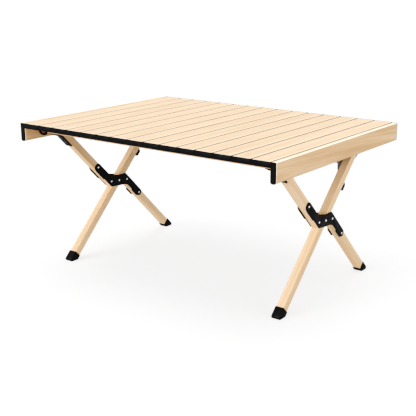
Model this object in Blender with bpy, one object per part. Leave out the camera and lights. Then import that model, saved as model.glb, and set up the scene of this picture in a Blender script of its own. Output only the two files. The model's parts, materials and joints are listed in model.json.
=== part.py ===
"""Low roll-top camping table in beech.

A roll-up top of slats with a deep board at each end lies on two long rails.
Two crossed leg frames hang under the rails. X runs along the table, Y from its
front to its back, Z up. The origin is on the floor under the middle of the top.
Metres throughout.
"""
import math

import bmesh
import bpy
from mathutils import Vector

# Overall size
TOP_LENGTH = 0.900
TOP_DEPTH = 0.660
TOP_HEIGHT = 0.450

# Play between neighbouring pieces
GAP = 0.0003

# Roll-up top
SLAT_COUNT = 15
SLAT_THICKNESS = 0.015
SLAT_TOP_RADIUS = 0.0018
SLAT_BOTTOM_RADIUS = 0.0010
CAP_THICKNESS = 0.003
CAP_EDGE = 0.0006

# Deep board at each end of the top
APRON_THICKNESS = 0.016
APRON_HEIGHT = 0.054
APRON_TOP_RADIUS = 0.0030
APRON_BOTTOM_RADIUS = 0.0055

# Long rails under the slats
RAIL_WIDTH = 0.026
RAIL_DEPTH = 0.0190
RAIL_Y = 0.256
RAIL_LENGTH = 0.808
RAIL_TOP = TOP_HEIGHT - SLAT_THICKNESS - 0.0005
RAIL_BOTTOM = RAIL_TOP - RAIL_DEPTH

# Half-round catches on the inner faces of the end boards
CATCH_RADIUS = 0.0185
CATCH_WALL = 0.0046
CATCH_BOTTOM = 0.4035
CATCH_DEPTH = 0.0055

# Crossed leg frames. Leg A runs from the front rail down to the back foot, in
# two halves set either side of leg B, which runs from the back rail down to the
# front foot in one piece.
FRAME_X = 0.389
LEG_SIZE = 0.023
LEG_ANGLE = math.radians(45.0)
LEG_EDGE = 0.0012
LEG_CLEARANCE = 0.0004
CROSSING = Vector((0.003, 0.219))
HALF_OFFSET = LEG_SIZE + LEG_CLEARANCE
LEG_A_TOP = 0.4125
LEG_B_END = 0.0135
LEG_B_END_RADIUS = 0.009

# Rubber boots
BOOT_WALL = 0.0013
BOOT_HEIGHT = 0.0197
BOOT_FLOOR = 0.008
BOOT_RADIUS = 0.0055

# Offset plates over each crossing, in the leg's own directions: along leg A
# downwards, and square to it upwards
PLATE_THICKNESS = 0.002
ARM_REACH = 0.109
ARM_RADIUS = 0.0112
INNER_RIVET = 0.028
RIVET_SHANK = 0.0020
RIVET_HOLE = 0.0023
RIVET_HEAD = 0.0038
RIVET_RISE = 0.0019

# Front hinges: a leaf under the rail and a cranked leaf on leg A
FRONT_PIN = Vector((-0.2525, 0.4110))
BARREL_RADIUS = 0.0040
LEAF_THICKNESS = 0.0018
LEAF_HALF_WIDTH = 0.0110
BARREL_HALF_WIDTH = 0.0037
CRANK_HEIGHT = 0.4015
LEAF_FOOT_HEIGHT = 0.366
LEAF_FOOT_THICKNESS = 0.0036

# Rear hangers: a web beside leg B under a flange on the back rail
REAR_PIN_HEIGHT = 0.375
HANGER_FLANGE = 0.022

ROUND_SIDES = 18

SLAT_UNDERSIDE = TOP_HEIGHT - SLAT_THICKNESS
SLAT_SPAN = TOP_LENGTH - 2.0 * APRON_THICKNESS
SLAT_PITCH = SLAT_SPAN / SLAT_COUNT
LEG_HALF = LEG_SIZE / 2.0
BOOT_HALF = LEG_HALF + BOOT_WALL + GAP
COS_LEG = math.cos(LEG_ANGLE)
SIN_LEG = math.sin(LEG_ANGLE)
# Distances up each leg's centre line from where it would meet the floor
CROSSING_REACH = CROSSING.y / SIN_LEG
REAR_PIN_REACH = REAR_PIN_HEIGHT / SIN_LEG
SHIFT_REACH = HALF_OFFSET * COS_LEG / SIN_LEG
LEAF_TOP = RAIL_BOTTOM - 0.0005
LEAF_BOTTOM = LEAF_TOP - LEAF_THICKNESS


def clear_scene():
    for old in list(bpy.data.objects):
        bpy.data.objects.remove(old, do_unlink=True)


def make_material(name, colour, roughness, metallic=0.0):
    material = bpy.data.materials.new(name)
    material.use_nodes = True
    shader = material.node_tree.nodes["Principled BSDF"]
    shader.inputs["Base Color"].default_value = (*colour, 1.0)
    shader.inputs["Roughness"].default_value = roughness
    shader.inputs["Metallic"].default_value = metallic
    return material


def add_object(name, bm, material, origin=(0.0, 0.0, 0.0)):
    """Make an object from a mesh in world places, with its origin where asked."""
    bmesh.ops.recalc_face_normals(bm, faces=bm.faces)
    bmesh.ops.translate(bm, verts=bm.verts, vec=-Vector(origin))
    mesh = bpy.data.meshes.new(name)
    bm.to_mesh(mesh)
    bm.free()
    obj = bpy.data.objects.new(name, mesh)
    obj.location = origin
    bpy.context.collection.objects.link(obj)
    if material:
        mesh.materials.append(material)
    return obj


def extrude(bm, outline, low, high, axis):
    """Add a prism: an outline in YZ drawn along X, or one in XZ drawn along Y."""
    rings = []
    for level in (low, high):
        ring = []
        for a, b in outline:
            place = (level, a, b) if axis == "X" else (a, level, b)
            ring.append(bm.verts.new(place))
        rings.append(ring)
    bm.faces.new(rings[0])
    bm.faces.new(list(reversed(rings[1])))
    count = len(outline)
    for i in range(count):
        j = (i + 1) % count
        bm.faces.new((rings[0][i], rings[1][i], rings[1][j], rings[0][j]))


def prism(name, outline, low, high, axis, material=None, origin=(0.0, 0.0, 0.0)):
    bm = bmesh.new()
    extrude(bm, outline, low, high, axis)
    return add_object(name, bm, material, origin)


def rounded(corners, steps=5):
    """Outline from (a, b, radius) corners, with an arc of the radius at each one."""
    outline = []
    count = len(corners)
    for i, (a, b, radius) in enumerate(corners):
        here = Vector((a, b))
        if radius == 0.0:
            outline.append((a, b))
            continue
        before = (Vector(corners[i - 1][:2]) - here).normalized()
        after = (Vector(corners[(i + 1) % count][:2]) - here).normalized()
        half_angle = before.angle(after) / 2.0
        centre = here + (before + after).normalized() * (radius / math.sin(half_angle))
        reach = radius / math.tan(half_angle)
        start = here + before * reach - centre
        end = here + after * reach - centre
        for k in range(steps + 1):
            outward = start.slerp(end, k / steps).normalized()
            outline.append(tuple(centre + outward * radius))
    return outline


def box_outline(a_low, a_high, b_low, b_high):
    return [(a_low, b_low), (a_high, b_low), (a_high, b_high), (a_low, b_high)]


def turned(bm, centre, profile, sides=ROUND_SIDES):
    """Turn (x, radius) points round a line along X through centre (y, z)."""
    first = bm.verts.new((profile[0][0], *centre))
    last = bm.verts.new((profile[-1][0], *centre))
    rings = []
    for x, radius in profile[1:-1]:
        ring = []
        for k in range(sides):
            angle = 2.0 * math.pi * k / sides
            ring.append(bm.verts.new((
                x,
                centre[0] + radius * math.cos(angle),
                centre[1] + radius * math.sin(angle),
            )))
        rings.append(ring)
    for k in range(sides):
        j = (k + 1) % sides
        bm.faces.new((first, rings[0][j], rings[0][k]))
        bm.faces.new((last, rings[-1][k], rings[-1][j]))
        for lower, upper in zip(rings, rings[1:]):
            bm.faces.new((lower[k], lower[j], upper[j], upper[k]))


def rod(bm, centre, radius, low, high, sides=ROUND_SIDES):
    turned(bm, centre, [(low, 0.0), (low, radius), (high, radius), (high, 0.0)], sides)


def smooth(obj):
    obj.data.shade_smooth()
    obj.data.set_sharp_from_angle(angle=math.radians(40.0))


def soften(obj, width, segments=2):
    bevel = obj.modifiers.new("soft edges", "BEVEL")
    bevel.width = width
    bevel.segments = segments
    bevel.limit_method = "ANGLE"
    bevel.angle_limit = math.radians(40.0)


def combine(obj, other, operation):
    """Join or cut with another object, which stays as a hidden guide."""
    other.hide_render = True
    other.display_type = "WIRE"
    step = obj.modifiers.new(other.name, "BOOLEAN")
    step.operation = operation
    step.solver = "EXACT"
    step.object = other


def drill(obj, centres, radius, low, high):
    bm = bmesh.new()
    for centre in centres:
        rod(bm, centre, radius, low, high)
    combine(obj, add_object(obj.name + "_drill", bm, None), "DIFFERENCE")


def leg_point(foot_y, sense, along, across):
    """World (y, z) of a place on a leg that leans back (+1) or forward (-1)."""
    y = foot_y + sense * (along * COS_LEG - across * SIN_LEG)
    z = along * SIN_LEG + across * COS_LEG
    return (y, z)


def plate_point(along, across):
    """World (y, z) from the crossing: along leg A downwards, and square to it."""
    y = CROSSING.x + along * COS_LEG + across * SIN_LEG
    z = CROSSING.y - along * SIN_LEG + across * COS_LEG
    return (y, z)


FOOT_B = CROSSING.x - CROSSING_REACH * COS_LEG
FOOT_A_LOWER = CROSSING.x + (CROSSING_REACH + SHIFT_REACH) * COS_LEG + HALF_OFFSET * SIN_LEG
FOOT_A_UPPER = CROSSING.x + (CROSSING_REACH - SHIFT_REACH) * COS_LEG - HALF_OFFSET * SIN_LEG
REAR_PIN = Vector(leg_point(FOOT_B, 1.0, REAR_PIN_REACH, 0.0))
RIVETS_UPPER = [plate_point(-ARM_REACH, -HALF_OFFSET), plate_point(-INNER_RIVET, -HALF_OFFSET)]
RIVETS_LOWER = [plate_point(INNER_RIVET, HALF_OFFSET), plate_point(ARM_REACH, HALF_OFFSET)]


def slat_centre(index):
    return (index - (SLAT_COUNT - 1) / 2.0) * SLAT_PITCH


def slat_hinge_x(index):
    """The centre slat is the fixed one; each other turns on its inner edge."""
    middle = (SLAT_COUNT - 1) // 2
    if index == middle:
        return 0.0
    side = 1.0 if index > middle else -1.0
    return slat_centre(index) - side * SLAT_PITCH / 2.0


def slat_outline(centre):
    half = SLAT_PITCH / 2.0 - GAP
    return rounded([
        (centre - half, SLAT_UNDERSIDE, SLAT_BOTTOM_RADIUS),
        (centre + half, SLAT_UNDERSIDE, SLAT_BOTTOM_RADIUS),
        (centre + half, TOP_HEIGHT, SLAT_TOP_RADIUS),
        (centre - half, TOP_HEIGHT, SLAT_TOP_RADIUS),
    ], steps=2)


def apron_outline(side):
    """Section of an end board: its top edge is level with the slats."""
    inner = side * (SLAT_SPAN / 2.0 + GAP)
    outer = side * TOP_LENGTH / 2.0
    bottom = TOP_HEIGHT - APRON_HEIGHT
    return rounded([
        (inner, bottom, APRON_BOTTOM_RADIUS),
        (outer, bottom, APRON_BOTTOM_RADIUS),
        (outer, TOP_HEIGHT, APRON_TOP_RADIUS),
        (inner, TOP_HEIGHT, APRON_TOP_RADIUS),
    ])


def build_top(material):
    """The slats, each one solid with the thin caps on its front and back ends."""
    for index in range(SLAT_COUNT):
        outline = slat_outline(slat_centre(index))
        hinge = (slat_hinge_x(index), 0.0, SLAT_UNDERSIDE)
        reach = TOP_DEPTH / 2.0
        slat = prism(f"slat_{index + 1:02d}", outline, -reach, reach, "Y", material, hinge)
        smooth(slat)


def build_end_board(name, side, materials):
    last = SLAT_COUNT - 1 if side > 0 else 0
    hinge = (slat_hinge_x(last), 0.0, SLAT_UNDERSIDE)
    outline = apron_outline(side)
    wood_reach = TOP_DEPTH / 2.0 - CAP_THICKNESS
    board = prism(
        "apron_" + name, outline, -wood_reach, wood_reach, "Y", materials["apron_wood"], hinge,
    )
    smooth(board)
    for place, end in (("front", -1.0), ("back", 1.0)):
        low, high = sorted((end * (wood_reach + GAP), end * TOP_DEPTH / 2.0))
        cap_name = f"apron_cap_{name}_{place}"
        cap = prism(cap_name, outline, low, high, "Y", materials["cap_plastic"], hinge)
        soften(cap, CAP_EDGE, 1)
        catch_name = f"catch_{name}_{place}"
        build_catch(catch_name, side, end * RAIL_Y, materials["catch_plastic"], hinge)


def catch_outline(centre_y):
    """A half-round cup in YZ, open at the top, with a wall of one thickness."""
    centre_z = CATCH_BOTTOM + CATCH_RADIUS
    lip = SLAT_UNDERSIDE - 2.0 * GAP
    steps = 10
    outline = []
    for radius, sense in ((CATCH_RADIUS, 1.0), (CATCH_RADIUS - CATCH_WALL, -1.0)):
        outline.append((centre_y - sense * radius, lip))
        for k in range(steps + 1):
            angle = math.pi * k / steps
            y = centre_y - sense * radius * math.cos(angle)
            outline.append((y, centre_z - radius * math.sin(angle)))
        outline.append((centre_y + sense * radius, lip))
    return outline


def build_catch(name, side, centre_y, material, hinge):
    face = SLAT_SPAN / 2.0
    low, high = sorted((side * face, side * (face - CATCH_DEPTH)))
    smooth(prism(name, catch_outline(centre_y), low, high, "X", material, hinge))


def build_rail(name, centre_y, material, origin):
    outline = box_outline(
        centre_y - RAIL_WIDTH / 2.0, centre_y + RAIL_WIDTH / 2.0, RAIL_BOTTOM, RAIL_TOP,
    )
    rail = prism(name, outline, -RAIL_LENGTH / 2.0, RAIL_LENGTH / 2.0, "X", material, origin)
    soften(rail, LEG_EDGE)


def build_leg_a(name, frame_x, materials):
    """Upper and lower halves of leg A, each butting on leg B when it is open."""
    hinge = (frame_x, *FRONT_PIN)
    low, high = frame_x - LEG_HALF, frame_x + LEG_HALF
    butt = LEG_HALF + LEG_CLEARANCE
    wood = materials["leg_wood"]

    butt_upper = CROSSING_REACH - SHIFT_REACH + butt
    upper = []
    for across, top_first in ((-LEG_HALF, False), (LEG_HALF, True)):
        at_top = (LEG_A_TOP - across * COS_LEG) / SIN_LEG
        ends = (at_top, butt_upper) if top_first else (butt_upper, at_top)
        upper.extend(leg_point(FOOT_A_UPPER, -1.0, along, across) for along in ends)
    half = prism("leg_a_upper_" + name, upper, low, high, "X", wood, hinge)
    soften(half, LEG_EDGE)
    drill(half, RIVETS_UPPER, RIVET_HOLE, low - GAP, high + GAP)

    butt_lower = CROSSING_REACH + SHIFT_REACH - butt
    lower = []
    for across, top_first in ((-LEG_HALF, False), (LEG_HALF, True)):
        at_foot = (BOOT_FLOOR + GAP - across * COS_LEG) / SIN_LEG
        ends = (butt_lower, at_foot) if top_first else (at_foot, butt_lower)
        lower.extend(leg_point(FOOT_A_LOWER, -1.0, along, across) for along in ends)
    half = prism("leg_a_lower_" + name, lower, low, high, "X", wood, hinge)
    soften(half, LEG_EDGE)
    drill(half, RIVETS_LOWER, RIVET_HOLE, low - GAP, high + GAP)

    build_boot("boot_a_" + name, FOOT_A_LOWER, -1.0, frame_x, hinge, materials["boot_rubber"])
    build_front_leaf("leg_leaf_" + name, frame_x, hinge, materials["bracket_steel"])


def build_leg_b(name, frame_x, materials):
    """Leg B in one piece, with a rounded top end round the rear pin."""
    hinge = (frame_x, *CROSSING)
    low, high = frame_x - LEG_HALF, frame_x + LEG_HALF
    top = REAR_PIN_REACH + LEG_B_END
    corners = []
    for across, along, radius in (
        (-LEG_HALF, None, 0.0),
        (-LEG_HALF, top, LEG_B_END_RADIUS),
        (LEG_HALF, top, LEG_B_END_RADIUS),
        (LEG_HALF, None, 0.0),
    ):
        if along is None:
            along = (BOOT_FLOOR + GAP - across * COS_LEG) / SIN_LEG
        corners.append((*leg_point(FOOT_B, 1.0, along, across), radius))
    leg = prism("leg_b_" + name, rounded(corners), low, high, "X", materials["leg_wood"], hinge)
    soften(leg, LEG_EDGE)
    drill(leg, [tuple(CROSSING), tuple(REAR_PIN)], RIVET_HOLE, low - GAP, high + GAP)

    build_boot("boot_b_" + name, FOOT_B, 1.0, frame_x, hinge, materials["boot_rubber"])


def build_boot(name, foot_y, sense, frame_x, origin, material):
    """A rubber boot: flat on the floor, and square to the leg at its top."""
    reach = BOOT_HEIGHT / SIN_LEG
    corners = [
        (*leg_point(foot_y, sense, reach, BOOT_HALF), 0.0),
        (*leg_point(foot_y, sense, -BOOT_HALF * COS_LEG / SIN_LEG, BOOT_HALF), BOOT_RADIUS),
        (*leg_point(foot_y, sense, BOOT_HALF * COS_LEG / SIN_LEG, -BOOT_HALF), BOOT_RADIUS),
        (*leg_point(foot_y, sense, reach, -BOOT_HALF), 0.0),
    ]
    boot = prism(
        name, rounded(corners), frame_x - BOOT_HALF, frame_x + BOOT_HALF, "X", material, origin,
    )
    soften(boot, LEG_EDGE)
    inner = LEG_HALF + GAP
    pocket = []
    for across, top_first in ((inner, True), (-inner, False)):
        at_floor = (BOOT_FLOOR - across * COS_LEG) / SIN_LEG
        above = reach + LEG_HALF
        ends = (above, at_floor) if top_first else (at_floor, above)
        pocket.extend(leg_point(foot_y, sense, along, across) for along in ends)
    cutter = prism(name + "_pocket", pocket, frame_x - inner, frame_x + inner, "X")
    combine(boot, cutter, "DIFFERENCE")


def plate_outline():
    """The Z-shaped offset plate: an arm on each half of leg A, joined across leg B.

    Each arm has a slightly wider stretch on its lower edge, near its round end.
    """
    upper_edge = LEG_HALF + 0.0002
    lower_edge = LEG_HALF + 0.0006
    tab_edge = LEG_HALF + 0.0034
    h = HALF_OFFSET
    corners = [
        (-ARM_REACH - ARM_RADIUS, -h + upper_edge, 0.0100),
        (-ARM_REACH - ARM_RADIUS, -h - lower_edge, 0.0085),
        (-0.1060, -h - tab_edge, 0.0008),
        (-0.0620, -h - tab_edge, 0.0008),
        (-0.0595, -h - lower_edge, 0.0008),
        (-0.0160, -h - lower_edge, 0.0070),
        (0.0120, -0.0125, 0.0200),
        (0.0300, 0.0040, 0.0300),
        (0.0460, h - lower_edge + 0.0015, 0.0200),
        (0.0740, h - lower_edge + 0.0015, 0.0012),
        (0.0740, h - tab_edge, 0.0008),
        (0.1060, h - tab_edge, 0.0040),
        (ARM_REACH + ARM_RADIUS, h - 0.0040, 0.0080),
        (ARM_REACH + ARM_RADIUS, h + upper_edge, 0.0105),
        (0.0100, h + upper_edge, 0.0070),
        (-0.0125, 0.0125, 0.0250),
        (-0.0300, 0.0010, 0.0300),
        (-0.0510, -h + upper_edge, 0.0150),
    ]
    return [plate_point(a, b) for a, b in rounded(corners)]


def build_crossing(name, frame_x, materials):
    """A plate on each side of the crossing, and the rivets through them all."""
    hinge = (frame_x, *FRONT_PIN)
    outline = plate_outline()
    near = LEG_HALF + GAP
    far = near + PLATE_THICKNESS
    centres = [*RIVETS_UPPER, tuple(CROSSING), *RIVETS_LOWER]
    outward = 1.0 if frame_x > 0 else -1.0
    for place, sense in (("outer", outward), ("inner", -outward)):
        low, high = sorted((frame_x + sense * near, frame_x + sense * far))
        plate_name = f"offset_plate_{name}_{place}"
        plate = prism(plate_name, outline, low, high, "X", materials["bracket_steel"], hinge)
        drill(plate, centres, RIVET_HOLE, low - GAP, high + GAP)
    for number, centre in enumerate(centres, start=1):
        bm = bmesh.new()
        rivet(bm, centre, frame_x - far - GAP, frame_x + far + GAP)
        smooth(add_object(f"rivet_{name}_{number}", bm, materials["rivet_steel"], hinge))


def rivet(bm, centre, low, high, low_head=True):
    """A rivet with domed heads outside low and high, or a plain end at low."""
    profile = []
    if low_head:
        for degrees in (0.0, 35.0, 65.0, 90.0):
            angle = math.radians(degrees)
            profile.append((low - RIVET_RISE * math.cos(angle), RIVET_HEAD * math.sin(angle)))
    else:
        profile.append((low, 0.0))
    profile.append((low, RIVET_SHANK))
    profile.append((high, RIVET_SHANK))
    for degrees in (90.0, 65.0, 35.0, 0.0):
        angle = math.radians(degrees)
        profile.append((high + RIVET_RISE * math.cos(angle), RIVET_HEAD * math.sin(angle)))
    turned(bm, centre, profile)


def build_front_leaf(name, frame_x, origin, material):
    """The cranked leaf on leg A: along its front face, then forward to the pin."""
    face_sum = FOOT_A_UPPER - LEG_HALF / SIN_LEG
    skin = GAP / SIN_LEG
    outer = (GAP + LEAF_FOOT_THICKNESS) / SIN_LEG
    crank = Vector((face_sum - skin - CRANK_HEIGHT, CRANK_HEIGHT))
    lean = (FRONT_PIN - crank).normalized()
    side = Vector((-lean.y, lean.x)) * LEAF_THICKNESS / 2.0
    outline = [
        (face_sum - skin - LEAF_FOOT_HEIGHT, LEAF_FOOT_HEIGHT),
        tuple(crank),
        tuple(FRONT_PIN - side),
        tuple(FRONT_PIN + side),
        (face_sum - outer - CRANK_HEIGHT + GAP, CRANK_HEIGHT - GAP),
        (face_sum - outer - LEAF_FOOT_HEIGHT, LEAF_FOOT_HEIGHT),
    ]
    low, high = frame_x - LEAF_HALF_WIDTH, frame_x + LEAF_HALF_WIDTH
    leaf = prism(name, outline, low, high, "X", material, origin)

    bm = bmesh.new()
    rod(bm, FRONT_PIN, BARREL_RADIUS, low, high)
    combine(leaf, add_object(name + "_barrel", bm, None), "UNION")
    drill(leaf, [tuple(FRONT_PIN)], RIVET_HOLE, low - GAP, high + GAP)
    bm = bmesh.new()
    notch = BARREL_HALF_WIDTH + GAP
    rod(bm, FRONT_PIN, BARREL_RADIUS + 2.0 * GAP, frame_x - notch, frame_x + notch)
    combine(leaf, add_object(name + "_notch", bm, None), "DIFFERENCE")


def build_hinge_base(name, frame_x, material, origin):
    """The leaf under the front rail, with its middle barrel and its own pin."""
    plate_end = FRONT_PIN.x - BARREL_RADIUS - 2.0 * GAP
    rail_front = -RAIL_Y - RAIL_WIDTH / 2.0 + 0.002
    low, high = frame_x - LEAF_HALF_WIDTH, frame_x + LEAF_HALF_WIDTH
    plate = box_outline(rail_front, plate_end, LEAF_BOTTOM, LEAF_TOP)
    base = prism(name, plate, low, high, "X", material, origin)
    tongue = box_outline(plate_end - 0.002, FRONT_PIN.x, LEAF_BOTTOM, LEAF_TOP)
    middle_low, middle_high = frame_x - BARREL_HALF_WIDTH, frame_x + BARREL_HALF_WIDTH
    combine(base, prism(name + "_tongue", tongue, middle_low, middle_high, "X"), "UNION")
    bm = bmesh.new()
    rod(bm, FRONT_PIN, BARREL_RADIUS, middle_low, middle_high)
    combine(base, add_object(name + "_barrel", bm, None), "UNION")
    bm = bmesh.new()
    rod(bm, FRONT_PIN, RIVET_SHANK, low, high)
    combine(base, add_object(name + "_pin", bm, None), "UNION")


def build_hanger(name, frame_x, material, origin):
    """A web beside leg B's inner face, under a flange on the back rail."""
    inward = -1.0 if frame_x > 0 else 1.0
    near = frame_x + inward * (LEG_HALF + GAP)
    far = near + inward * PLATE_THICKNESS
    rail_back = RAIL_Y + RAIL_WIDTH / 2.0 - 0.002
    pin_y = REAR_PIN.x
    web_top = LEAF_TOP - GAP
    web = rounded([
        (pin_y - 0.062, web_top, 0.0),
        (pin_y - 0.071, 0.3680, 0.0020),
        (pin_y - 0.071, 0.3635, 0.0015),
        (pin_y - 0.052, 0.3600, 0.0040),
        (pin_y - 0.050, 0.3340, 0.0090),
        (pin_y - 0.018, 0.3340, 0.0100),
        (pin_y + 0.010, 0.3480, 0.0300),
        (pin_y + 0.058, 0.3560, 0.0200),
        (rail_back, 0.3960, 0.0040),
        (rail_back, web_top, 0.0),
    ])
    low, high = sorted((near, far))
    hanger = prism(name, web, low, high, "X", material, origin)
    flange = box_outline(pin_y - 0.060, rail_back - GAP, LEAF_BOTTOM, LEAF_TOP)
    low_flange, high_flange = sorted((near + inward * GAP, near + inward * HANGER_FLANGE))
    combine(hanger, prism(name + "_flange", flange, low_flange, high_flange, "X"), "UNION")
    drill(hanger, [tuple(REAR_PIN)], RIVET_HOLE, low - GAP, high + GAP)


def build_rear_rivet(name, frame_x, through_web, material):
    """The rivet at the top of leg B, which stops inside the leg on the open side."""
    inward = -1.0 if frame_x > 0 else 1.0
    outer = frame_x - inward * (LEG_HALF + GAP)
    inner = frame_x + inward * (LEG_HALF + GAP + PLATE_THICKNESS + GAP)
    if not through_web:
        inner = frame_x + inward * (LEG_HALF - GAP)
    bm = bmesh.new()
    if inward > 0:
        rivet(bm, REAR_PIN, outer, inner)
    else:
        rivet(bm, REAR_PIN, inner, outer, low_head=through_web)
    smooth(add_object(name, bm, material, (frame_x, *CROSSING)))


def build_frames(materials):
    front_hinge = (0.0, *FRONT_PIN)
    rear_hinge = (-FRAME_X, *REAR_PIN)
    build_rail("front_rail", -RAIL_Y, materials["rail_wood"], front_hinge)
    build_rail("back_rail", RAIL_Y, materials["rail_wood"], rear_hinge)
    for name, frame_x in (("left", -FRAME_X), ("right", FRAME_X)):
        build_leg_a(name, frame_x, materials)
        build_leg_b(name, frame_x, materials)
        build_crossing(name, frame_x, materials)
        build_rear_rivet("rear_rivet_" + name, frame_x, name == "left", materials["rivet_steel"])
        build_hinge_base("hinge_base_" + name, frame_x, materials["bracket_steel"], front_hinge)
        build_hanger("hanger_" + name, frame_x, materials["hanger_steel"], rear_hinge)


def main():
    clear_scene()
    materials = {}
    for name, colour, roughness, metallic in (
        ("slat_wood", (0.83, 0.66, 0.47), 0.50, 0.0),
        ("apron_wood", (0.76, 0.57, 0.38), 0.50, 0.0),
        ("leg_wood", (0.74, 0.55, 0.36), 0.50, 0.0),
        ("rail_wood", (0.74, 0.55, 0.36), 0.55, 0.0),
        ("cap_plastic", (0.012, 0.012, 0.013), 0.42, 0.0),
        ("catch_plastic", (0.012, 0.012, 0.013), 0.45, 0.0),
        ("bracket_steel", (0.010, 0.010, 0.011), 0.40, 0.0),
        ("rivet_steel", (0.80, 0.80, 0.81), 0.28, 1.0),
        ("hanger_steel", (0.36, 0.39, 0.44), 0.42, 1.0),
        ("boot_rubber", (0.018, 0.018, 0.019), 0.60, 0.0),
    ):
        materials[name] = make_material(name, colour, roughness, metallic)
    build_top(materials["slat_wood"])
    build_end_board("left", -1.0, materials)
    build_end_board("right", 1.0, materials)
    build_frames(materials)


main()
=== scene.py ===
"""Looks of the low roll-top camping table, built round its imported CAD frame.

Metres; X along the table, Y from front to back, Z up, floor at Z = 0. The wooden
slats get their own rounded boards, plastic end caps and webbing; brackets, boots
and rivets are the CAD shapes with softened edges and fittings added.
"""
import json
import math

import bmesh
import bpy
from mathutils import Matrix, Vector


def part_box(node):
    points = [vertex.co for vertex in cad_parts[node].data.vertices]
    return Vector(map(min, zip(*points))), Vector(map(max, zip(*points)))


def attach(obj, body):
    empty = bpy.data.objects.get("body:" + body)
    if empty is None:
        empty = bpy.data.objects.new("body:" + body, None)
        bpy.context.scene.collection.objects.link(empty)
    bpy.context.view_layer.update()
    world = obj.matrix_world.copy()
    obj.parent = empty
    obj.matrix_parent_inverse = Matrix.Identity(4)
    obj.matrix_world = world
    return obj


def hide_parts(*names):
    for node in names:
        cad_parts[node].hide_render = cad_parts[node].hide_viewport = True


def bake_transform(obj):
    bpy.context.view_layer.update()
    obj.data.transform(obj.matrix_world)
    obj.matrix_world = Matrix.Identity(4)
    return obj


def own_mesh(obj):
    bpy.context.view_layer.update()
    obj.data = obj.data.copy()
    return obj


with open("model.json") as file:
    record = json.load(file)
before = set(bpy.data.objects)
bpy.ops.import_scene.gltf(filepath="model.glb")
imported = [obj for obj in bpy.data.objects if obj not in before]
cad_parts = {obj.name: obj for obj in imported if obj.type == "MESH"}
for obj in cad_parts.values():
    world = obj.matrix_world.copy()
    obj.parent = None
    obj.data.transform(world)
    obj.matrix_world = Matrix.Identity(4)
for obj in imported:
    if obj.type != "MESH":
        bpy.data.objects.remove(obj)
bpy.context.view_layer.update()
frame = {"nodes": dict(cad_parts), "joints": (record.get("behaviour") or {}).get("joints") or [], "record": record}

SIDES = {"left": -1.0, "right": 1.0}
ENDS = {"front": -1.0, "back": 1.0}
JOINTS = {joint["name"]: joint for joint in frame["joints"]}

# The left leg frame's crossing, and the legs' size and slope
CROSSING = Vector(JOINTS["leg_b_left_cross"]["pos_m"])
LEG_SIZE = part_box("leg_b_left")[1].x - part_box("leg_b_left")[0].x
LEG_HALF = LEG_SIZE / 2.0
LEG_TILT = math.radians(45.0)

# Room left between touching pieces
SKIN = 0.0001

# Slats
SLATS = sorted(name for name in frame["nodes"] if name.startswith("slat_"))
SLAT_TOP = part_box(SLATS[0])[1].z
SLAT_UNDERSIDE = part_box(SLATS[0])[0].z
SLAT_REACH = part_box(SLATS[0])[1].y
CAP_THICKNESS = 0.0027
CAP_GAP = 0.0003
CAP_TOP_RADIUS = 0.0018
CAP_RIM = 0.0008
SLAT_ROLL_WIDTH = 0.0050
SLAT_ROLL_DROP = 0.0022
SLAT_ROLL_STEPS = 8
SLAT_BOTTOM_RADIUS = 0.0010
SLAT_RIM = 0.0007
SLAT_INSET = 0.0012

# How far a slat's long edges count as turned down, as a share of the way to its side; the leads put painted shade
# early on the right edges and hold a painted highlight on the left ones
TURN_STARTS = 0.06
RIGHT_EDGE_LEAD = 0.12
LEFT_EDGE_LEAD = 0.12
LEFT_EDGE_LIMIT = 0.36
LEFT_EDGE_DARKENS = 0.58

# Painted highlight bands at the ends of the boards and along the end boards' top edge
END_HIGHLIGHT_REACH = 0.0032
HIGHLIGHT_SHARE = 0.20
TOP_EDGE_HIGHLIGHT_WIDTH = 0.0033
TOP_EDGE_HIGHLIGHT_DEPTH = 0.0016

# Numbers that set each board's figure and tone apart
BOARD_SHIFT = (0.73, 2.91, 1.37)
SLAT_TONE = 0.055
SLAT_TONE_STEP = 2.6
END_BOARD_NUMBERS = {"left": 31.0, "right": 37.0}

# Webbing that hinges the slats
STRAP_Y = 0.165
STRAP_WIDTH = 0.025
STRAP_THICKNESS = 0.0009
STRAP_STEPS = 28
STRAP_JOIN = 0.0006

# Wire staples that hold the webbing
STAPLE_WIRE = 0.0009
STAPLE_CROWN = 0.0120
STAPLE_OFFSETS = (-0.008, 0.008)
STAPLE_OUTER_RADIUS = 0.0003
STAPLE_INNER_RADIUS = 0.0002

# Rubber buffers under leg B: place along the leg, size, and taper
BUFFER_ALONG = 0.1225
BUFFER_LENGTH = 0.028
BUFFER_WIDTH = 0.0226
BUFFER_RISE = 0.0105
BUFFER_TAPER = 0.004
BUFFER_RADIUS = 0.0045
BUFFER_RIM = 0.0014

# Where the screw beside each buffer stands, along leg B and square to its underside
BUFFER_SCREW_ALONG = 0.111
BUFFER_SCREW_OUT = -0.0055

# Screws, and where they stand on the hinges and on the flanges of the hangers
SCREW_RADIUS = 0.0032
SCREW_RISE = 0.0014
SCREW_SINK = 0.0003
SCREW_SIDES = 20
SCREW_DOME_STEPS = 5
RECESS_REACH = 0.62
RECESS_DEPTH = 0.35
SCREW_FACE_DROP = 0.0018
LEAF_FOOT_THICKNESS = 0.0036
LEAF_SCREW_RISES = (0.007, 0.024)
BASE_SCREW_OFFSETS = (-0.0065, 0.0065)
BASE_SCREW_INSET = 0.0048
HANGER_SCREW_INSETS = (0.007, 0.019)
HANGER_SCREW_ASIDE = 0.0143

# Width of the softened edges on the CAD shapes
BRACKET_SOFTNESS = 0.00035
RIVET_SOFTNESS = 0.0003
BOOT_SOFTNESS = 0.0007
CAP_SOFTNESS = 0.0005
APRON_SOFTNESS = 0.0007
SOFT_SEGMENTS = 2

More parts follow.
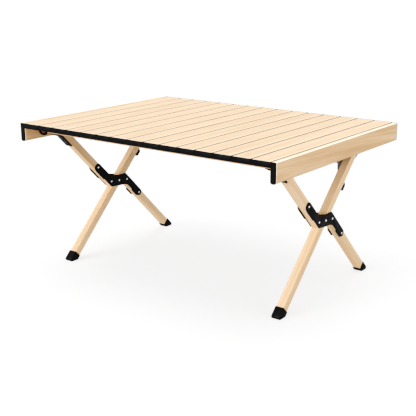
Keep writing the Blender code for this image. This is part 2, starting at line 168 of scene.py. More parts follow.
# Studio levels, as radiance on a scale where paper white is 1
SKY = 0.50
SUN = 0.58
TONE_CURVE = (
    (0.015, 0.0045), (0.03, 0.010), (0.05, 0.024), (0.07, 0.048), (0.10, 0.098), (0.15, 0.178),
    (0.25, 0.323), (0.37, 0.471), (0.50, 0.604), (0.65, 0.738), (0.80, 0.855), (0.90, 0.925),
)
SUN_FROM = Vector((-0.10, 0.06, 0.80))
SUN_SPREAD = math.radians(50.0)
FILL = 0.82
FILL_FROM = Vector((-0.30, -0.88, 0.34))
FILL_SPREAD = math.radians(50.0)
SIDE = 0.50
SIDE_FROM = Vector((0.98, -0.15, 0.10))
SIDE_SPREAD = math.radians(50.0)
FLOOR_GLOW_SEEN = 0.675
FLOOR_GLOW_UNSEEN = 0.310
FLOOR_REACH = 45.0
TONE_WHITE = (1.0, 0.995)
COMBINED_CURVE = 3

# Camera
CAMERA_SENSOR = 36.0
CAMERA_LENS = 72.98
CAMERA_SHIFT_X = -0.0481
CAMERA_AZIMUTH = math.radians(36.15)
CAMERA_ELEVATION = math.radians(15.97)
CAMERA_DISTANCE = 2.524
CAMERA_TARGET = Vector((0.0696, 0.0, 0.1993))


# ---------------------------------------------------------------- mesh helpers

def link_object(name, data):
    """Put a mesh, a light or a camera into the scene."""
    obj = bpy.data.objects.new(name, data)
    bpy.context.scene.collection.objects.link(obj)
    return obj


def add_piece(name, bm, material, body, replaced=(), sharp_degrees=35.0):
    """Turn a bmesh in world places into a piece, riding on a CAD body if one is given."""
    bmesh.ops.recalc_face_normals(bm, faces=bm.faces)
    mesh = bpy.data.meshes.new(name)
    bm.to_mesh(mesh)
    bm.free()
    mesh.materials.append(material)
    mesh.shade_smooth()
    mesh.set_sharp_from_angle(angle=math.radians(sharp_degrees))
    piece = link_object(name, mesh)
    if body:
        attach(piece, body)
    if replaced:
        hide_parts(*replaced)
    return piece


def body_of_node(node):
    """The body that a CAD node moves with."""
    for body, members in frame["record"]["behaviour"]["bodies"].items():
        if node in members:
            return body
    raise ValueError(node)


def set_numbers(mesh, name, values):
    """Store a number on each point of a mesh, for its material to read."""
    attribute = mesh.attributes.new(name, "FLOAT", "POINT")
    attribute.data.foreach_set("value", values)


def set_number(mesh, name, value):
    """Store the same number on every point of a mesh."""
    set_numbers(mesh, name, [value] * len(mesh.vertices))


def use_material(node, material):
    """Give a CAD node one material."""
    materials = frame["nodes"][node].data.materials
    materials.clear()
    materials.append(material)


def rounded(corners, steps):
    """Outline from (a, b, radius) corners, with an arc of the radius at each one."""
    outline = []
    count = len(corners)
    for i, (a, b, radius) in enumerate(corners):
        here = Vector((a, b))
        if radius == 0.0:
            outline.append((a, b))
            continue
        before = (Vector(corners[i - 1][:2]) - here).normalized()
        after = (Vector(corners[(i + 1) % count][:2]) - here).normalized()
        half_angle = before.angle(after) / 2.0
        centre = here + (before + after).normalized() * (radius / math.sin(half_angle))
        reach = radius / math.tan(half_angle)
        start = here + before * reach - centre
        end = here + after * reach - centre
        for k in range(steps + 1):
            outward = start.slerp(end, k / steps).normalized()
            outline.append(tuple(centre + outward * radius))
    return outline


def place(level, a, b, axis):
    """World place of an outline's point at a level along X or Y."""
    return (level, a, b) if axis == "X" else (a, level, b)


def prism(bm, outline, low, high, axis, rim=0.0, rim_steps=2, band=0.0):
    """Add a prism along X (outline in YZ) or Y (outline in XZ), with softened rims.

    A band adds a ring of points that far in from each end.
    """
    levels = []
    for k in range(rim_steps + 1 if rim else 1):
        angle = 0.5 * math.pi * k / rim_steps
        levels.append((rim * (1.0 - math.sin(angle)), rim * (1.0 - math.cos(angle))))
    if band:
        levels.append((0.0, band))
    stations = [(low + along, inset) for inset, along in levels]
    stations += [(high - along, inset) for inset, along in reversed(levels)]
    centre = sum((Vector(point) for point in outline), Vector((0.0, 0.0))) / len(outline)
    half = Vector((
        max(abs(a - centre.x) for a, b in outline),
        max(abs(b - centre.y) for a, b in outline),
    ))
    rings = []
    for level, inset in stations:
        scale = Vector((1.0 - inset / half.x, 1.0 - inset / half.y))
        ring = []
        for a, b in outline:
            point = Vector((centre.x + (a - centre.x) * scale.x, centre.y + (b - centre.y) * scale.y))
            ring.append(bm.verts.new(place(level, point.x, point.y, axis)))
        rings.append(ring)
    bm.faces.new(rings[0])
    bm.faces.new(list(reversed(rings[-1])))
    count = len(outline)
    for lower, upper in zip(rings, rings[1:]):
        for i in range(count):
            j = (i + 1) % count
            bm.faces.new((lower[i], upper[i], upper[j], lower[j]))


def turned(bm, centre, profile, sides):
    """Turn (x, radius) points round a line along X through centre (y, z)."""
    first = bm.verts.new((profile[0][0], *centre))
    last = bm.verts.new((profile[-1][0], *centre))
    rings = []
    for x, radius in profile[1:-1]:
        ring = []
        for k in range(sides):
            angle = 2.0 * math.pi * k / sides
            y = centre[0] + radius * math.cos(angle)
            z = centre[1] + radius * math.sin(angle)
            ring.append(bm.verts.new((x, y, z)))
        rings.append(ring)
    for k in range(sides):
        j = (k + 1) % sides
        bm.faces.new((first, rings[0][j], rings[0][k]))
        bm.faces.new((last, rings[-1][k], rings[-1][j]))
        for lower, upper in zip(rings, rings[1:]):
            bm.faces.new((lower[k], lower[j], upper[j], upper[k]))


def cad_bmesh(node):
    """A CAD node's mesh with its flat faces joined up again."""
    bm = bmesh.new()
    bm.from_mesh(frame["nodes"][node].data)
    bmesh.ops.remove_doubles(bm, verts=bm.verts, dist=1e-6)
    bmesh.ops.dissolve_limit(
        bm, angle_limit=math.radians(0.5), verts=bm.verts, edges=bm.edges,
    )
    return bm


def soften_edges(bm, width, from_degrees=50.0):
    """Round the edges that are sharper than an angle."""
    sharp = [
        edge for edge in bm.edges
        if len(edge.link_faces) == 2 and edge.calc_face_angle() > math.radians(from_degrees)
    ]
    bmesh.ops.bevel(
        bm, geom=sharp, offset=width, offset_type="OFFSET", segments=SOFT_SEGMENTS,
        profile=0.5, affect="EDGES", clamp_overlap=True,
    )


def refine(node, material, width):
    """A CAD node's own shape with rounded edges, in its place."""
    bm = cad_bmesh(node)
    soften_edges(bm, width)
    return add_piece(node + "_part", bm, material, body_of_node(node), (node,))


# ------------------------------------------------------------------- materials

class Nodes:
    """A short way to write a material's node tree."""

    def __init__(self, name):
        self.material = bpy.data.materials.new(name)
        self.material.use_nodes = True
        self.tree = self.material.node_tree
        self.shader = self.tree.nodes["Principled BSDF"]

    def add(self, kind, settings=None, **inputs):
        """Add a node, with its settings and its inputs by name."""
        node = self.tree.nodes.new(kind)
        for key, value in (settings or {}).items():
            setattr(node, key, value)
        for key, value in inputs.items():
            self.feed(node.inputs[key.replace("_", " ")], value)
        return node

    def feed(self, socket, value):
        """Link a socket to an input, or set the input to a constant."""
        if isinstance(value, bpy.types.NodeSocket):
            self.tree.links.new(value, socket)
        else:
            socket.default_value = value

    def math(self, operation, a, b):
        """One sum on two values."""
        node = self.tree.nodes.new("ShaderNodeMath")
        node.operation = operation
        self.feed(node.inputs[0], a)
        self.feed(node.inputs[1], b)
        return node.outputs[0]

    def spread(self, value, low, high, to_low=0.0, to_high=1.0):
        """Map low..high to to_low..to_high, and hold the ends."""
        node = self.tree.nodes.new("ShaderNodeMapRange")
        self.feed(node.inputs["Value"], value)
        node.inputs["From Min"].default_value = low
        node.inputs["From Max"].default_value = high
        node.inputs["To Min"].default_value = to_low
        node.inputs["To Max"].default_value = to_high
        return node.outputs["Result"]

    def mix(self, share, a, b):
        """Mix two colours."""
        node = self.tree.nodes.new("ShaderNodeMix")
        node.data_type = "RGBA"
        self.feed(node.inputs[0], share)
        self.feed(node.inputs[6], a)
        self.feed(node.inputs[7], b)
        return node.outputs[2]

    def noise(self, place_socket, scale, detail=3.0, roughness=0.55, distortion=0.0):
        """Noise at a scale, as a value."""
        node = self.add("ShaderNodeTexNoise", Vector=place_socket)
        node.inputs["Scale"].default_value = scale
        node.inputs["Detail"].default_value = detail
        node.inputs["Roughness"].default_value = roughness
        node.inputs["Distortion"].default_value = distortion
        return node.outputs["Fac"]

    def stretched(self, place_socket, scale):
        """Places scaled by axis, which draws a pattern out."""
        return self.add(
            "ShaderNodeMapping", Vector=place_socket, Scale=scale,
        ).outputs["Vector"]

    def bump(self, height, strength, distance):
        """Feed a height to the shader's normal."""
        node = self.add("ShaderNodeBump", Height=height)
        node.inputs["Strength"].default_value = strength
        node.inputs["Distance"].default_value = distance
        self.tree.links.new(node.outputs["Normal"], self.shader.inputs["Normal"])

    def finish(self, colour, roughness):
        """Set the shader's colour and roughness, and give back the material."""
        self.feed(self.shader.inputs["Base Color"], colour)
        self.feed(self.shader.inputs["Roughness"], roughness)
        return self.material


def colour4(r, g, b):
    """An opaque colour."""
    return (r, g, b, 1.0)


def wood(name, pale, mid, deep, turn=(0.0, 0.0, 0.0), contrast=0.42):
    """Beech with its grain along the local Y axis, after a turn of the places.

    Three numbers on the mesh's points steer it: board moves the figure, tone deepens
    the colour, and edge runs from the flat face (0) over a band of painted highlight to the side (1), which takes
    painted shade.
    """
    n = Nodes(name)
    places = n.add("ShaderNodeTexCoord").outputs["Object"]
    board = n.add("ShaderNodeAttribute", {"attribute_name": "board"}).outputs["Fac"]
    shift = n.add("ShaderNodeCombineXYZ")
    for socket, step in zip(shift.inputs, BOARD_SHIFT):
        n.feed(socket, n.math("MULTIPLY", board, step))
    moved = n.add("ShaderNodeVectorMath", {"operation": "ADD"})
    n.feed(moved.inputs[0], places)
    n.feed(moved.inputs[1], shift.outputs[0])
    along = n.add("ShaderNodeMapping", Vector=moved.outputs[0], Rotation=turn).outputs["Vector"]

    # Broad figure, growth lines, fine fibres and short flecks
    figure = n.noise(
        n.stretched(along, (9.0, 0.9, 9.0)), 2.2, detail=3.0, roughness=0.5, distortion=0.9,
    )
    lines = n.noise(
        n.stretched(along, (60.0, 1.1, 60.0)), 1.9, detail=4.0, roughness=0.6, distortion=0.6,
    )
    fibres = n.noise(n.stretched(along, (420.0, 9.0, 420.0)), 1.6, detail=2.0, roughness=0.6)
    flecks = n.noise(n.stretched(along, (900.0, 55.0, 900.0)), 1.0, detail=1.0, roughness=0.5)
    fleck = n.spread(flecks, 0.66, 0.80)
    line = n.spread(lines, 0.42, 0.64)

    colour = n.mix(n.spread(figure, 0.36, 0.66), colour4(*pale), colour4(*mid))
    colour = n.mix(n.math("MULTIPLY", line, contrast), colour, colour4(*deep))
    colour = n.mix(n.spread(fibres, 0.38, 0.70, 0.0, 0.26), colour, colour4(*deep))
    colour = n.mix(
        n.math("MULTIPLY", fleck, 0.30), colour,
        colour4(deep[0] * 0.62, deep[1] * 0.52, deep[2] * 0.42),
    )
    tone = n.add("ShaderNodeAttribute", {"attribute_name": "tone"}).outputs["Fac"]
    colour = n.mix(tone, colour, colour4(*deep))
    edge = n.add("ShaderNodeAttribute", {"attribute_name": "edge"}).outputs["Fac"]
    # Painted highlight on rolled edges and board ends, then painted shade on the slats' sides down in the gaps
    highlight_mask = n.math("MULTIPLY", n.spread(edge, 0.02, 0.16), n.spread(edge, 0.54, 0.38))
    colour = n.mix(n.math("MULTIPLY", highlight_mask, 0.9), colour, colour4(*PAINTED_HIGHLIGHT_TONE))
    colour = n.mix(n.math("MULTIPLY", n.spread(edge, 0.52, 0.68), 0.95), colour, colour4(*GROOVE_SHADE_TONE))

    grain = n.math("ADD", n.math("MULTIPLY", fibres, 0.7), n.math("MULTIPLY", lines, 0.5))
    grain = n.math("SUBTRACT", grain, n.math("MULTIPLY", fleck, 0.8))
    n.bump(grain, 0.35, 0.00018)
    rough = n.math("ADD", n.spread(fibres, 0.3, 0.7, 0.44, 0.54), n.math("MULTIPLY", fleck, 0.08))
    n.shader.inputs["Specular IOR Level"].default_value = 0.30
    return n.finish(colour, rough)


def black_plastic(name, tint, low_rough, high_rough, grain_scale, grain_depth):
    """Moulded black plastic or rubber: a fine grain, with faint rubbed patches."""
    n = Nodes(name)
    places = n.add("ShaderNodeTexCoord").outputs["Object"]
    grain = n.noise(places, grain_scale, 2.0, 0.6)
    patches = n.noise(places, 34.0, 3.0, 0.6)
    scuffs = n.spread(n.noise(n.stretched(places, (1.0, 1.0, 3.0)), 160.0, 2.0, 0.7, 0.8), 0.66, 0.76)
    rubbed = tuple(channel * 2.6 + 0.006 for channel in tint)
    colour = n.mix(n.spread(patches, 0.35, 0.7, 0.0, 0.55), colour4(*tint), colour4(*rubbed))
    colour = n.mix(n.math("MULTIPLY", scuffs, 0.25), colour, colour4(0.09, 0.09, 0.092))
    n.bump(grain, 0.30, grain_depth)
    rough = n.math(
        "ADD", n.spread(patches, 0.3, 0.7, low_rough, high_rough), n.math("MULTIPLY", scuffs, 0.12),
    )
    n.shader.inputs["Specular IOR Level"].default_value = 0.18
    return n.finish(colour, rough)


def black_steel(name):
    """Satin black powder coat with an orange-peel skin and a few bright nicks."""
    n = Nodes(name)
    places = n.add("ShaderNodeTexCoord").outputs["Object"]
    peel = n.noise(places, 620.0, 2.0, 0.5)
    cloud = n.noise(places, 40.0, 3.0, 0.6)
    nicks = n.spread(n.noise(places, 240.0, 3.0, 0.75, 1.4), 0.735, 0.77)
    colour = n.mix(n.spread(cloud, 0.3, 0.7), colour4(0.004, 0.004, 0.0045), colour4(0.009, 0.009, 0.0095))
    colour = n.mix(n.math("MULTIPLY", nicks, 0.6), colour, colour4(0.16, 0.155, 0.15))
    n.bump(peel, 0.28, 0.00012)
    n.shader.inputs["Specular IOR Level"].default_value = 0.2
    return n.finish(colour, n.spread(cloud, 0.3, 0.7, 0.40, 0.52))


def bright_steel(name):
    """Plated steel with fine turned scratches."""
    n = Nodes(name)
    places = n.add("ShaderNodeTexCoord").outputs["Object"]
    scratches = n.noise(n.stretched(places, (30.0, 900.0, 260.0)), 1.5, 3.0, 0.65)
    cloud = n.noise(places, 260.0, 2.0, 0.6)
    colour = n.mix(n.spread(cloud, 0.3, 0.7), colour4(0.86, 0.86, 0.87), colour4(0.72, 0.72, 0.73))
    n.shader.inputs["Metallic"].default_value = 1.0
    n.bump(scratches, 0.2, 0.00006)
    return n.finish(colour, n.spread(scratches, 0.3, 0.7, 0.22, 0.34))


def zinc_steel(name):
    """Dull zinc-plated sheet with a faint spangle."""
    n = Nodes(name)
    places = n.add("ShaderNodeTexCoord").outputs["Object"]
    spangle = n.noise(places, 150.0, 2.0, 0.7, 1.5)
    grit = n.noise(places, 900.0, 2.0, 0.6)
    colour = n.mix(n.spread(spangle, 0.3, 0.7), colour4(0.13, 0.15, 0.19), colour4(0.20, 0.22, 0.26))
    n.shader.inputs["Metallic"].default_value = 0.6
    n.bump(grit, 0.2, 0.00008)
    return n.finish(colour, n.spread(spangle, 0.3, 0.7, 0.36, 0.50))


def webbing(name):
    """Flat woven strap: ribs across its width, with fine fuzz."""
    n = Nodes(name)
    places = n.add("ShaderNodeTexCoord").outputs["Object"]
    ribs = n.add("ShaderNodeTexWave", {"bands_direction": "X"}, Vector=places)
    ribs.inputs["Scale"].default_value = 170.0
    ribs.inputs["Distortion"].default_value = 0.6
    rows = n.add("ShaderNodeTexWave", {"bands_direction": "Y"}, Vector=places)
    rows.inputs["Scale"].default_value = 120.0
    rows.inputs["Distortion"].default_value = 0.4
    weave = n.math("MULTIPLY", ribs.outputs["Fac"], rows.outputs["Fac"])
    fuzz = n.noise(places, 1400.0, 2.0, 0.7)
    colour = n.mix(weave, colour4(0.006, 0.006, 0.007), colour4(0.030, 0.030, 0.032))
    colour = n.mix(n.spread(fuzz, 0.4, 0.8, 0.0, 0.4), colour, colour4(0.05, 0.05, 0.052))
    n.bump(weave, 0.6, 0.0004)
    n.shader.inputs["Sheen Weight"].default_value = 0.3
    return n.finish(colour, n.spread(fuzz, 0.3, 0.7, 0.78, 0.92))


# Colour of the painted highlight, and of the painted shade on the slats' sides in the gaps
PAINTED_HIGHLIGHT_TONE = (0.97, 0.88, 0.70)
GROOVE_SHADE_TONE = (0.13, 0.065, 0.025)
SLAT_TONES = dict(pale=(0.80, 0.57, 0.375), mid=(0.75, 0.52, 0.33), deep=(0.625, 0.395, 0.215))
BOARD_TONES = dict(pale=(0.76, 0.51, 0.315), mid=(0.645, 0.405, 0.222), deep=(0.50, 0.280, 0.13))
LEG_TONES = dict(pale=(0.81, 0.565, 0.365), mid=(0.765, 0.515, 0.312), deep=(0.61, 0.370, 0.188))

SLAT_WOOD = wood("slat_wood", **SLAT_TONES, contrast=0.62)
APRON_WOOD = wood("apron_wood", **BOARD_TONES, turn=(math.radians(3.5), 0.0, 0.0), contrast=0.60)
RAIL_WOOD = wood("rail_wood", **BOARD_TONES, turn=(0.0, 0.0, math.radians(90.0)))
LEG_A_WOOD = wood("leg_a_wood", **LEG_TONES, turn=(LEG_TILT, 0.0, 0.0), contrast=0.62)
LEG_B_WOOD = wood("leg_b_wood", **LEG_TONES, turn=(-LEG_TILT, 0.0, 0.0), contrast=0.62)
CAP_PLASTIC = black_plastic("cap_plastic", (0.004, 0.004, 0.0045), 0.34, 0.46, 900.0, 0.00008)
CATCH_PLASTIC = black_plastic("catch_plastic", (0.005, 0.005, 0.0055), 0.38, 0.50, 700.0, 0.00010)
BOOT_RUBBER = black_plastic("boot_rubber", (0.005, 0.005, 0.0055), 0.42, 0.58, 520.0, 0.00016)
BRACKET_STEEL = black_steel("bracket_steel")
RIVET_STEEL = bright_steel("rivet_steel")
HANGER_STEEL = zinc_steel("hanger_steel")
STRAP_WEBBING = webbing("strap_webbing")


# ------------------------------------------------------------------ the top

def slat_profile(low_x, high_x, roll_width, roll_drop):
    """Section of a slat in XZ: its long top edges roll over in part of an ellipse."""
    outline = rounded([
        (low_x, SLAT_UNDERSIDE, SLAT_BOTTOM_RADIUS),
        (high_x, SLAT_UNDERSIDE, SLAT_BOTTOM_RADIUS),
        (high_x, SLAT_TOP - roll_drop, 0.0),
        (low_x, SLAT_TOP - roll_drop, 0.0),
    ], steps=4)[:-2]
    steps = SLAT_ROLL_STEPS
    for centre_x, sense in ((high_x - roll_width, 1.0), (low_x + roll_width, -1.0)):
        for k in range(steps + 1):
            turn = 0.5 * math.pi * (steps - k if sense > 0.0 else k) / steps
            x = centre_x + sense * roll_width * math.sin(turn)
            outline.append((x, SLAT_TOP - roll_drop * (1.0 - math.cos(turn))))
    return outline


def mark_edges(mesh, low_x, high_x, reach):
    """Store how far each point has turned down a long edge: 0 on top, 1 at the side.

    The left edges keep a painted highlight for half their turn, the right ones take painted shade early.
    """
    shares = []
    for vertex in mesh.vertices:
        inset = min(vertex.co.x - low_x, high_x - vertex.co.x)
        turned_down = 1.0 - min(max(inset / SLAT_ROLL_WIDTH, 0.0), 1.0)
        share = math.degrees(math.asin(turned_down)) / 90.0
        if share > TURN_STARTS and vertex.co.x > 0.5 * (low_x + high_x):
            share = min(share + RIGHT_EDGE_LEAD, 1.0)
        elif TURN_STARTS < share < LEFT_EDGE_DARKENS:
            share = min(share + LEFT_EDGE_LEAD, LEFT_EDGE_LIMIT)
        # A painted highlight band at each end of the slat
        if abs(vertex.co.y) > reach - 0.5 * END_HIGHLIGHT_REACH:
            share = max(share, HIGHLIGHT_SHARE)
        shares.append(share)
    set_numbers(mesh, "edge", shares)


def build_slats():
    """Each slat's wood, a little narrower than its CAD shape, between two plastic caps."""
    wood_reach = SLAT_REACH - CAP_THICKNESS - CAP_GAP
    for index, node in enumerate(SLATS):
        low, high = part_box(node)
        sides = (low.x + SLAT_INSET, high.x - SLAT_INSET)
        profile = slat_profile(*sides, SLAT_ROLL_WIDTH, SLAT_ROLL_DROP)
        bm = bmesh.new()
        prism(bm, profile, -wood_reach, wood_reach, "Y", rim=SLAT_RIM, band=END_HIGHLIGHT_REACH)
        slat = add_piece(node + "_wood", bm, SLAT_WOOD, node, (node,))
        mark_edges(slat.data, *sides, wood_reach)
        set_number(slat.data, "board", float(index + 1))
        set_number(slat.data, "tone", SLAT_TONE * (0.5 + 0.5 * math.sin(SLAT_TONE_STEP * index)))
        profile = slat_profile(low.x, high.x, CAP_TOP_RADIUS, CAP_TOP_RADIUS)
        for end, sign in ENDS.items():
            bm = bmesh.new()
            span = sorted((sign * (SLAT_REACH - CAP_THICKNESS), sign * SLAT_REACH))
            prism(bm, profile, *span, "Y", rim=CAP_RIM)
            add_piece(f"{node}_cap_{end}", bm, CAP_PLASTIC, node)


def build_apron(side):
    """An end board, with its outer top edge and its two ends marked for a painted highlight."""
    node = "apron_" + side
    low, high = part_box(node)
    bm = cad_bmesh(node)
    soften_edges(bm, APRON_SOFTNESS)
    for y, outward in ((low.y + END_HIGHLIGHT_REACH, -1.0), (high.y - END_HIGHLIGHT_REACH, 1.0)):
        bmesh.ops.bisect_plane(
            bm, geom=bm.verts[:] + bm.edges[:] + bm.faces[:],
            plane_co=(0.0, y, 0.0), plane_no=(0.0, outward, 0.0),
        )
    board = add_piece(node + "_board", bm, APRON_WOOD, body_of_node(node), (node,))
    outer = max(abs(low.x), abs(high.x))
    shares = []
    # Points on the outer top edge and at the ends take the painted highlight
    for vertex in board.data.vertices:
        at_outside = abs(vertex.co.x) > outer - TOP_EDGE_HIGHLIGHT_WIDTH
        on_top_edge = at_outside and vertex.co.z > high.z - TOP_EDGE_HIGHLIGHT_DEPTH
        at_end = min(vertex.co.y - low.y, high.y - vertex.co.y) < 0.5 * END_HIGHLIGHT_REACH
        shares.append(HIGHLIGHT_SHARE if on_top_edge or at_end else 0.0)
    set_numbers(board.data, "edge", shares)
    return board


def build_end_boards():
    """The end boards, with their end caps and catches."""
    for side in SIDES:
        board = build_apron(side)
        set_number(board.data, "board", END_BOARD_NUMBERS[side])
        set_number(board.data, "tone", 0.0)
        for end in ENDS:
            refine(f"apron_cap_{side}_{end}", CAP_PLASTIC, CAP_SOFTNESS)
            refine(f"catch_{side}_{end}", CATCH_PLASTIC, CAP_SOFTNESS)


def build_straps():
    """Webbing under the slats, in lengths that each span one hinge line."""
    top = SLAT_UNDERSIDE - SKIN
    section = (
        (-0.5, top - STRAP_THICKNESS), (0.5, top - STRAP_THICKNESS), (0.5, top), (-0.5, top),
    )
    for index in range(len(SLATS) - 1):
        near, far = SLATS[index], SLATS[index + 1]
        low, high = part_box(near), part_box(far)
        start_x = (low[0].x + low[1].x) / 2.0 + STRAP_JOIN
        end_x = (high[0].x + high[1].x) / 2.0 - STRAP_JOIN
        for end, sign in ENDS.items():
            bm = bmesh.new()
            rows = []
            for k in range(STRAP_STEPS + 1):
                x = start_x + (end_x - start_x) * k / STRAP_STEPS
                row = []
                for y_side, z in section:
                    y = sign * STRAP_Y + y_side * STRAP_WIDTH
                    row.append(bm.verts.new((x, y, z)))
                rows.append(row)
            bm.faces.new(rows[0])
            bm.faces.new(list(reversed(rows[-1])))
            for lower, upper in zip(rows, rows[1:]):
                for i in range(4):
                    j = (i + 1) % 4
                    bm.faces.new((lower[i], upper[i], upper[j], lower[j]))
            strap = add_piece(
                f"strap_{end}_{index + 1:02d}", bm, STRAP_WEBBING, None,
            )
            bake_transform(strap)


# --------------------------------------------------------------- the frames

def build_wood_frames():
    """Wood on the legs and rails, which keep their CAD shapes."""
    for side in SIDES:
        for node, material in (
            ("leg_a_upper_" + side, LEG_A_WOOD),
            ("leg_a_lower_" + side, LEG_A_WOOD),
            ("leg_b_" + side, LEG_B_WOOD),
        ):
            use_material(node, material)
            mesh = frame["nodes"][node].data
            mesh.shade_smooth()
            mesh.set_sharp_from_angle(angle=math.radians(30.0))
    for node in ("front_rail", "back_rail"):
        use_material(node, RAIL_WOOD)


def build_rivets():
    """The rivets of the offset plates and of the rear pivots."""
    for node in sorted(name for name in frame["nodes"] if "rivet" in name):
        refine(node, RIVET_STEEL, RIVET_SOFTNESS)


def build_brackets():
    """The offset plates, hinges and hangers, and the boots."""
    for side in SIDES:
        for node in (
            f"offset_plate_{side}_outer", f"offset_plate_{side}_inner",
            "leg_leaf_" + side, "hinge_base_" + side,
        ):
            refine(node, BRACKET_STEEL, BRACKET_SOFTNESS)
        refine("hanger_" + side, HANGER_STEEL, BRACKET_SOFTNESS)
        for leg in "ab":
            refine(f"boot_{leg}_{side}", BOOT_RUBBER, BOOT_SOFTNESS)


def leg_b_point(along, out):
    """World (y, z) up leg B's line from the crossing, and out square to its underside."""
    c = math.cos(LEG_TILT)
    return CROSSING.y + (along + out) * c, CROSSING.z + (along - out) * c


def build_buffers():
    """A rubber buffer under each leg B, with a screw beside it in the leg's inner face.
    """
    for side, sign in SIDES.items():
        body = "leg_b_" + side
        x = sign * abs(CROSSING.x)
        base = LEG_HALF + SKIN
        lower = BUFFER_ALONG - BUFFER_LENGTH / 2.0
        upper = BUFFER_ALONG + BUFFER_LENGTH / 2.0
        section = rounded([
            (lower, base, 0.0),
            (upper, base, 0.0),
            (upper - BUFFER_TAPER, base + BUFFER_RISE, BUFFER_RADIUS),
            (lower + BUFFER_TAPER, base + BUFFER_RISE, BUFFER_RADIUS),
        ], steps=6)
        bm = bmesh.new()
        outline = [leg_b_point(along, out) for along, out in section]
        half = BUFFER_WIDTH / 2.0
        prism(bm, outline, x - half, x + half, "X", rim=BUFFER_RIM, rim_steps=3)
        buffer = add_piece("buffer_" + side, bm, BOOT_RUBBER, body)
        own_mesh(buffer)
        bm = bmesh.new()
        inner_face = x - sign * LEG_HALF
        centre = (inner_face, *leg_b_point(BUFFER_SCREW_ALONG, BUFFER_SCREW_OUT))
        screw_head(bm, Vector(centre), Vector((-sign, 0.0, 0.0)))
        add_piece("buffer_screw_" + side, bm, RIVET_STEEL, body)


def screw_head(bm, centre, outward):
    """A domed screw head with a round recess, standing out of a face."""
    head = bmesh.new()
    profile = [(-SCREW_SINK, 0.0), (-SCREW_SINK, SCREW_RADIUS)]
    for k in range(SCREW_DOME_STEPS + 1):
        angle = math.radians(90.0) * k / SCREW_DOME_STEPS
        radius = SCREW_RADIUS * math.cos(angle) if k < SCREW_DOME_STEPS else 0.0
        profile.append((SCREW_RISE * math.sin(angle), radius))
    turned(head, (0.0, 0.0), profile, SCREW_SIDES)
    for vertex in head.verts:
        offset = Vector(vertex.co.yz)
        if offset.length < RECESS_REACH * SCREW_RADIUS and vertex.co.x > 0.0:
            vertex.co.x -= RECESS_DEPTH * SCREW_RISE
    turn = outward.to_track_quat("X", "Z").to_matrix().to_4x4()
    bmesh.ops.transform(head, matrix=Matrix.Translation(centre) @ turn, verts=head.verts)
    mesh = bpy.data.meshes.new("screw")
    head.to_mesh(mesh)
    head.free()
    bm.from_mesh(mesh)
    bpy.data.meshes.remove(mesh)


def build_screws():
    """Screws in the leaves on leg A, under the front rail and under the back rail."""
    leaf_face = Vector((0.0, -1.0, -1.0))
    down = Vector((0.0, 0.0, -1.0))
    for side, sign in SIDES.items():
        x = sign * abs(CROSSING.x)
        low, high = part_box("leg_leaf_" + side)
        step = LEAF_FOOT_THICKNESS * math.cos(LEG_TILT)
        bm = bmesh.new()
        for rise in LEAF_SCREW_RISES:
            screw_head(bm, Vector((x, high.y - rise - step, low.z + rise - step)), leaf_face)
        body = body_of_node("leg_leaf_" + side)
        add_piece("leaf_screws_" + side, bm, BRACKET_STEEL, body)
        low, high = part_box("hinge_base_" + side)
        bm = bmesh.new()
        y, z = low.y + BASE_SCREW_INSET, high.z - SCREW_FACE_DROP
        for offset in BASE_SCREW_OFFSETS:
            screw_head(bm, Vector((x + offset, y, z)), down)
        add_piece("base_screws_" + side, bm, RIVET_STEEL, "front_rail")
        low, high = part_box("hanger_" + side)
        inward = x - sign * (LEG_HALF + HANGER_SCREW_ASIDE)
        bm = bmesh.new()
        for inset in HANGER_SCREW_INSETS:
            screw_head(bm, Vector((inward, high.y - inset, high.z - SCREW_FACE_DROP)), down)
        add_piece("hanger_screws_" + side, bm, RIVET_STEEL, "back_rail")


def build_staples():
    """Two wire crowns over each strap where it is fixed to a slat."""
    under = SLAT_UNDERSIDE - SKIN - STRAP_THICKNESS
    half = STAPLE_WIRE / 2.0
    half_crown = STAPLE_CROWN / 2.0
    for node in SLATS:
        low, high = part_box(node)
        middle = (low.x + high.x) / 2.0
        bm = bmesh.new()
        for sign in ENDS.values():
            centre = sign * STRAP_Y
            for offset in STAPLE_OFFSETS:
                x = middle + offset
                outline = rounded([
                    (x - half, under - STAPLE_WIRE, STAPLE_OUTER_RADIUS),
                    (x + half, under - STAPLE_WIRE, STAPLE_OUTER_RADIUS),
                    (x + half, under - SKIN, STAPLE_INNER_RADIUS),
                    (x - half, under - SKIN, STAPLE_INNER_RADIUS),
                ], steps=3)
                low_y, high_y = centre - half_crown, centre + half_crown
                prism(bm, outline, low_y, high_y, "Y", rim=STAPLE_OUTER_RADIUS)
        add_piece(node + "_staples", bm, RIVET_STEEL, node)


# ------------------------------------------------------------ floor and light

def build_stage():
    """A plain pale floor that looks brighter than the light it gives."""
    bm = bmesh.new()
    for x, y in ((-1.0, -1.0), (1.0, -1.0), (1.0, 1.0), (-1.0, 1.0)):
        bm.verts.new((x * FLOOR_REACH, y * FLOOR_REACH, 0.0))
    bm.faces.new(bm.verts)
    mesh = bpy.data.meshes.new("floor")
    bm.to_mesh(mesh)
    bm.free()
    n = Nodes("floor_paper")
    places = n.add("ShaderNodeTexCoord").outputs["Object"]
    tone = n.noise(places, 3.0, 2.0, 0.5)
    colour = n.mix(tone, colour4(0.272, 0.272, 0.272), colour4(0.277, 0.277, 0.277))
    n.shader.inputs["Specular IOR Level"].default_value = 0.1
    n.shader.inputs["Emission Color"].default_value = colour4(1.0, 1.0, 1.0)
    seen = n.add("ShaderNodeLightPath").outputs["Is Camera Ray"]
    glow = n.spread(seen, 0.0, 1.0, FLOOR_GLOW_UNSEEN, FLOOR_GLOW_SEEN)
    n.feed(n.shader.inputs["Emission Strength"], glow)
    mesh.materials.append(n.finish(colour, 0.9))
    link_object("floor", mesh)


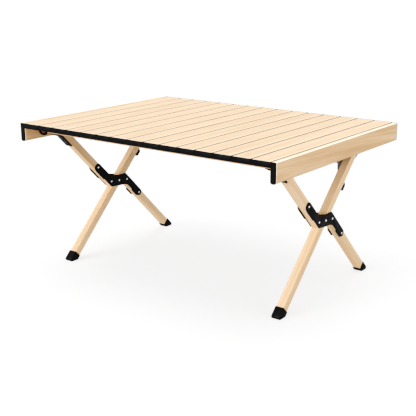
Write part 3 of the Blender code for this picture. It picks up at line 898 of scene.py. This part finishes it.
def soft_sun(name, level, direction, spread):
    """A sun from a direction, spread wide enough for soft shadows."""
    light = bpy.data.lights.new(name, "SUN")
    light.energy = math.pi * level
    light.angle = spread
    obj = link_object(name, light)
    obj.rotation_euler = direction.to_track_quat("Z", "Y").to_euler()


def build_lights():
    """A surround that looks brighter than the light it gives, and three soft suns."""
    world = bpy.data.worlds.new("studio")
    bpy.context.scene.world = world
    world.use_nodes = True
    tree = world.node_tree
    background = tree.nodes["Background"]
    background.inputs["Color"].default_value = colour4(1.0, 1.0, 1.0)
    path = tree.nodes.new("ShaderNodeLightPath")
    level = tree.nodes.new("ShaderNodeMapRange")
    level.inputs["To Min"].default_value = SKY
    level.inputs["To Max"].default_value = 1.0
    tree.links.new(path.outputs["Is Camera Ray"], level.inputs["Value"])
    tree.links.new(level.outputs["Result"], background.inputs["Strength"])
    soft_sun("key", SUN, SUN_FROM, SUN_SPREAD)
    soft_sun("fill", FILL, FILL_FROM, FILL_SPREAD)
    soft_sun("side", SIDE, SIDE_FROM, SIDE_SPREAD)


def build_tone():
    """A print-like tone curve: lifted middle tones, firm shadows, soft highlights."""
    view = bpy.context.scene.view_settings
    view.view_transform = "Standard"
    view.use_curve_mapping = True
    mapping = view.curve_mapping
    curve = mapping.curves[COMBINED_CURVE]
    for x, y in TONE_CURVE:
        curve.points.new(x, y)
    curve.points[-1].location = TONE_WHITE
    mapping.update()


def build_camera():
    """A long lens from the front right, a little above the table."""
    camera = bpy.data.cameras.new("camera")
    camera.sensor_width = CAMERA_SENSOR
    camera.lens = CAMERA_LENS
    camera.shift_x = CAMERA_SHIFT_X
    obj = link_object("camera", camera)
    back = Vector((
        math.sin(CAMERA_AZIMUTH) * math.cos(CAMERA_ELEVATION),
        -math.cos(CAMERA_AZIMUTH) * math.cos(CAMERA_ELEVATION),
        math.sin(CAMERA_ELEVATION),
    ))
    obj.location = CAMERA_TARGET + back * CAMERA_DISTANCE
    obj.rotation_euler = (-back).to_track_quat("-Z", "Y").to_euler()
    bpy.context.scene.camera = obj


build_camera()
build_stage()
build_lights()
build_slats()
build_end_boards()
build_straps()
build_wood_frames()
build_rivets()
build_brackets()
build_buffers()
build_screws()
build_staples()
build_tone()
